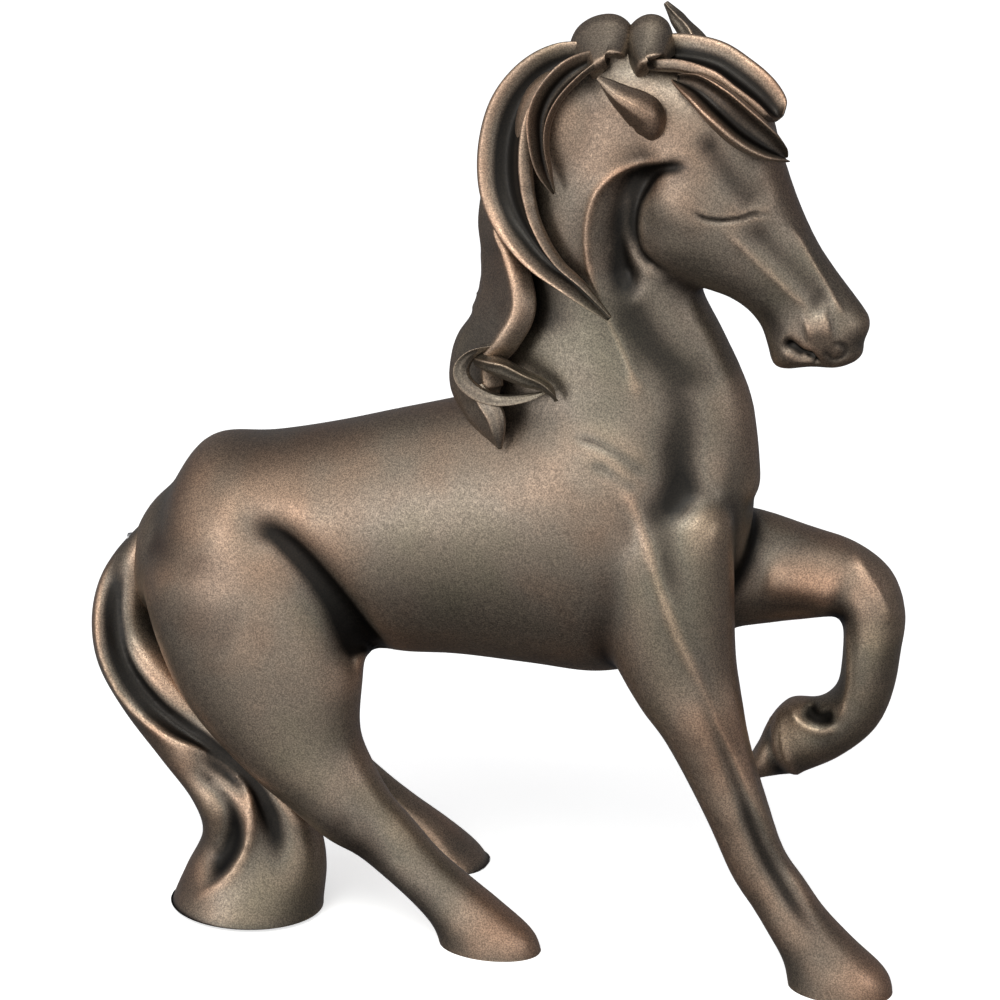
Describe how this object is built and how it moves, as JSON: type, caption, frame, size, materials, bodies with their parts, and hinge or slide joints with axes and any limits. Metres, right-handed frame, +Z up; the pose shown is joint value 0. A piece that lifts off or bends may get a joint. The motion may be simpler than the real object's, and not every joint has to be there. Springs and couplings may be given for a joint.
{
  "type": "horse statuette",
  "caption": "Stylised bronze horse with a raised, folded foreleg, a flowing mane and a tail that reaches the ground and helps it stand.",
  "frame": {"origin": "centre of the footprint, on the ground the hooves stand on", "axes": "+X the way the horse faces, +Y its left side, +Z up"},
  "size_m": [0.2386, 0.0748, 0.2687],
  "materials": {
    "bronze": "satin brown bronze with a fine even grain, dark in the hollows and coppery on the crests",
    "steel": "plain ground dowel",
    "felt": "thin black felt"
  },
  "bodies": {
    "root": {"torso_casting": "bronze", "neck_casting": "bronze", "head_casting": "bronze", "right_foreleg": "bronze", "left_foreleg": "bronze", "right_hind_leg": "bronze", "left_hind_leg": "bronze", "tail_casting": "bronze", "right_ear": "bronze", "left_ear": "bronze", "forelock_upper": "bronze", "forelock_lower": "bronze", "poll_curl_rear": "bronze", "poll_curl_front": "bronze", "mane_lock_long": "bronze", "mane_lock_inner": "bronze", "mane_lock_rear": "bronze", "mane_lock_curl": "bronze", "mane_lock_finger": "bronze", "mane_lock_tip": "bronze", "head_pin": "steel", "neck_pin": "steel", "right_fore_pin": "steel", "left_fore_pin": "steel", "right_hind_pin": "steel", "left_hind_pin": "steel", "tail_pin": "steel", "tail_pad": "felt"}
  },
  "joints": []
}
